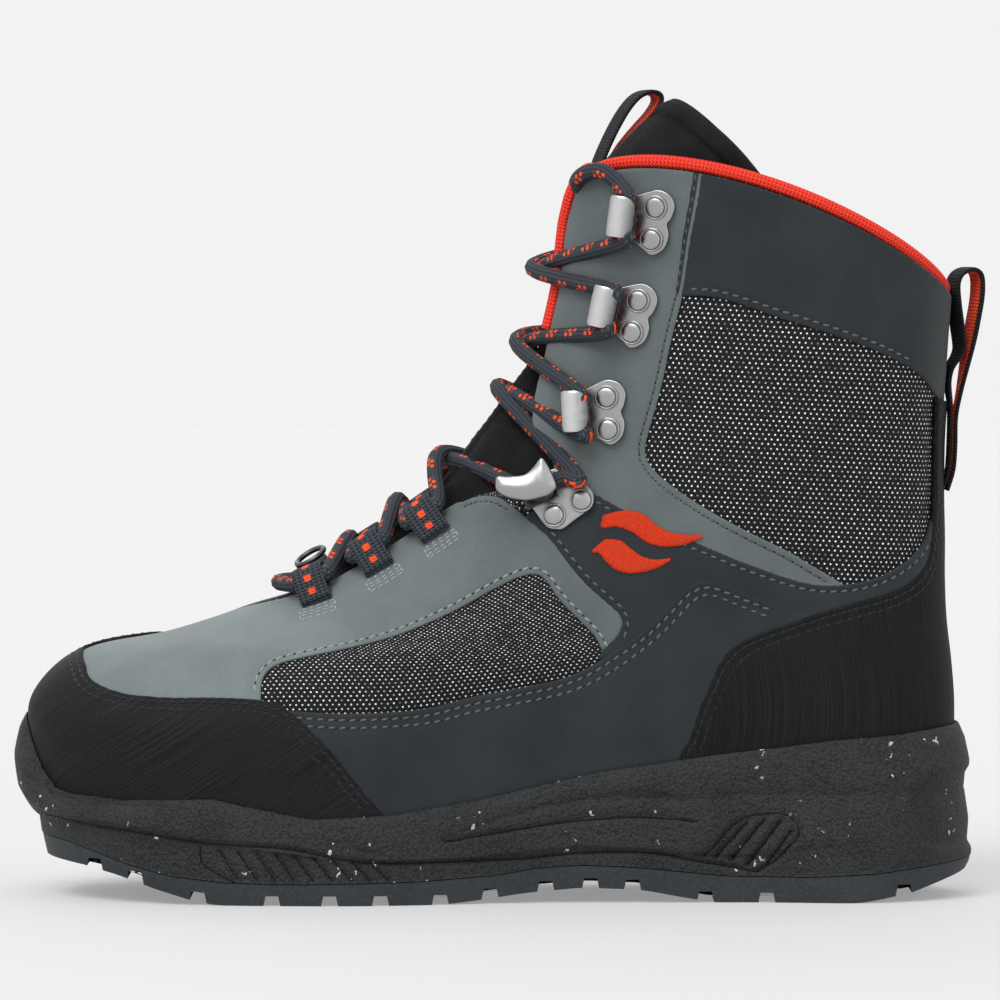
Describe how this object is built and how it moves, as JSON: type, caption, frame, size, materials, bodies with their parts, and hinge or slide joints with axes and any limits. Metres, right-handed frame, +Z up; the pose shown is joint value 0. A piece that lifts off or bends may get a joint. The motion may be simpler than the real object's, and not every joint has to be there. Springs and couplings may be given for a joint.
{
  "type": "wading boot",
  "caption": "Laced ankle-high wading boot with a cup sole, lugged outsole, toe cap, heel counter, mesh windows, webbing loops and metal lace hooks.",
  "frame": {"origin": "on the floor under the centre of the heel, on the heel's flat bottom", "axes": "+X from the heel to the toe, +Y to the outer side of the left foot, +Z up"},
  "size_m": [0.3159, 0.1056, 0.2631],
  "materials": {
    "outsole": "moulded, matt",
    "midsole": "pebbled, matt",
    "insole": "knitted cover",
    "base": "woven, padded",
    "black": "coated, fine texture",
    "slate": "smooth, matt",
    "grey": "nubuck, matt",
    "tongue": "ribbed, padded",
    "orange": "knitted",
    "lace": "braided",
    "metal": "satin"
  },
  "bodies": {
    "root": {"outsole": "outsole", "midsole": "midsole", "insole": "insole", "upper": "base", "toe_cap": "black", "vamp": "grey", "side_guard_outer": "slate", "side_guard_inner": "slate", "eyestay_outer": "grey", "eyestay_inner": "grey", "cuff": "slate", "heel_counter": "black", "tongue": "tongue", "collar_piping": "orange", "tongue_loop": "lace", "heel_loop": "lace", "guard_ring": "metal", "lace_bar": "lace", "lace_top": "lace", "lace_cross_1": "lace", "lace_cross_2": "lace", "lace_cross_3": "lace", "lace_cross_4": "lace", "lace_cross_5": "lace", "lace_cross_6": "lace", "lace_loop_1_outer": "lace", "lace_loop_2_outer": "lace", "lace_loop_3_outer": "lace", "lace_hook_4_outer": "metal", "rivet_4_upper_outer": "metal", "rivet_4_lower_outer": "metal", "lace_hook_5_outer": "metal", "rivet_5_upper_outer": "metal", "rivet_5_lower_outer": "metal", "lace_hook_6_outer": "metal", "rivet_6_upper_outer": "metal", "rivet_6_lower_outer": "metal", "lace_hook_7_outer": "metal", "rivet_7_upper_outer": "metal", "rivet_7_lower_outer": "metal", "lace_loop_1_inner": "lace", "lace_loop_2_inner": "lace", "lace_loop_3_inner": "lace", "lace_hook_4_inner": "metal", "rivet_4_upper_inner": "metal", "rivet_4_lower_inner": "metal", "lace_hook_5_inner": "metal", "rivet_5_upper_inner": "metal", "rivet_5_lower_inner": "metal", "lace_hook_6_inner": "metal", "rivet_6_upper_inner": "metal", "rivet_6_lower_inner": "metal", "lace_hook_7_inner": "metal", "rivet_7_upper_inner": "metal", "rivet_7_lower_inner": "metal"}
  },
  "joints": []
}
